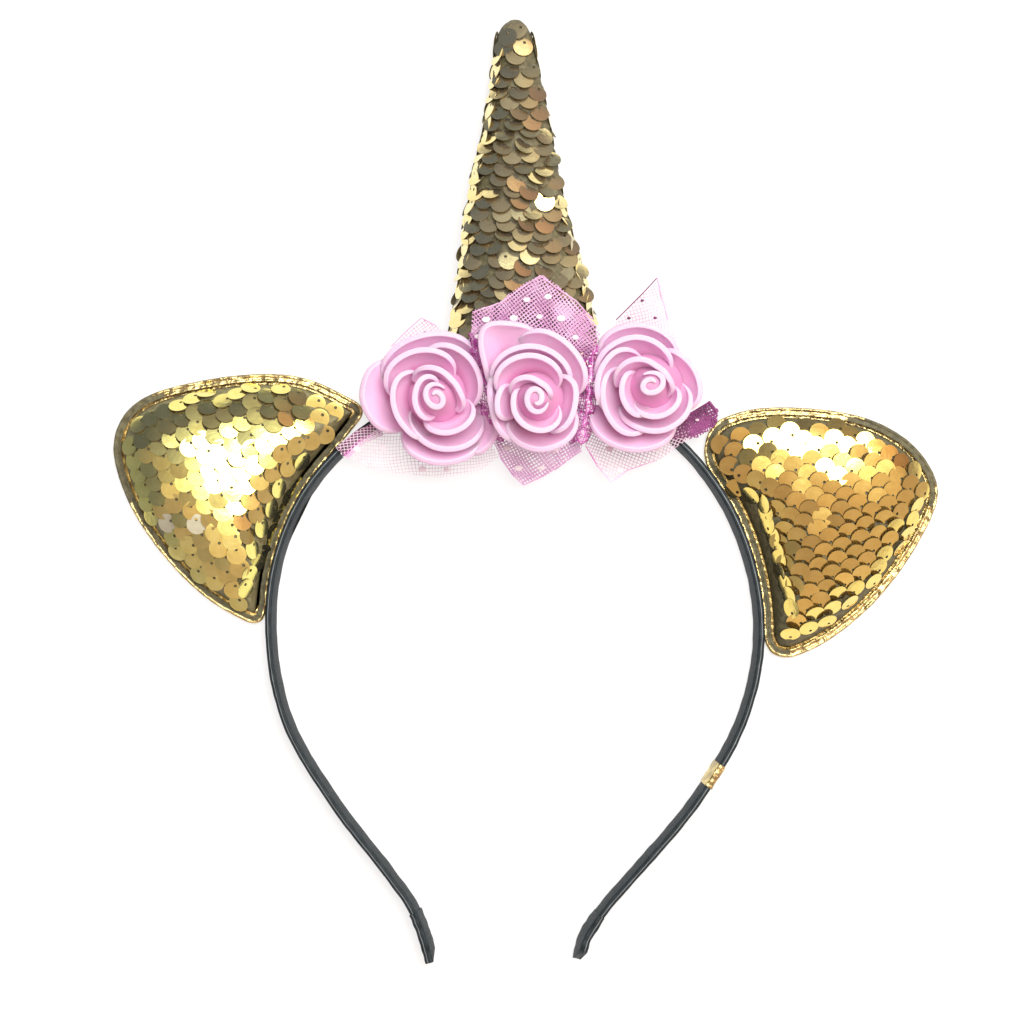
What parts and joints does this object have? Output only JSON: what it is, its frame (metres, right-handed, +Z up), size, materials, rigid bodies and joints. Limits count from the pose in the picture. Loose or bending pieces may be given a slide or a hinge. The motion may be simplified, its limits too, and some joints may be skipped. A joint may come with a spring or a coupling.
{
  "type": "cat ears headband",
  "caption": "Headband with padded gold sequin cat ears, a stuffed sequin horn, pink foam roses and dotted net leaves on a ribbon-wrapped spring band, worn over the crown of the head.",
  "frame": {"origin": "centre of the headband's outline on the surface that it lies on", "axes": "+X to the right of the front view, +Y from the band's tips to the horn's tip, +Z up from the surface, out of the headband's front"},
  "size_m": [0.2053, 0.2345, 0.0308],
  "materials": {
    "satin_black": "woven satin ribbon",
    "sequin_gold": "metallised sequins",
    "foil_gold": "crinkled metallic foil",
    "foam_pink": "soft matte foam",
    "net_pink": "dotted net"
  },
  "bodies": {
    "root": {"band": "satin_black", "tip_left": "satin_black", "tip_right": "satin_black", "foil_wrap": "foil_gold", "ear_left_back": "foil_gold", "ear_left_rim": "foil_gold", "ear_left_front": "sequin_gold", "ear_right_back": "foil_gold", "ear_right_rim": "foil_gold", "ear_right_front": "sequin_gold", "horn": "sequin_gold", "rose_left_outer": "foam_pink", "rose_left_middle": "foam_pink", "rose_left_inner": "foam_pink", "rose_left_bud": "foam_pink", "rose_middle_outer": "foam_pink", "rose_middle_middle": "foam_pink", "rose_middle_inner": "foam_pink", "rose_middle_bud": "foam_pink", "rose_middle_stem": "foam_pink", "rose_right_outer": "foam_pink", "rose_right_middle": "foam_pink", "rose_right_inner": "foam_pink", "rose_right_bud": "foam_pink", "net_top_middle": "net_pink", "net_top_right": "net_pink", "net_top_left": "net_pink", "net_low_left": "net_pink", "net_low_middle": "net_pink", "net_low_right": "net_pink", "net_right": "net_pink"}
  },
  "joints": []
}
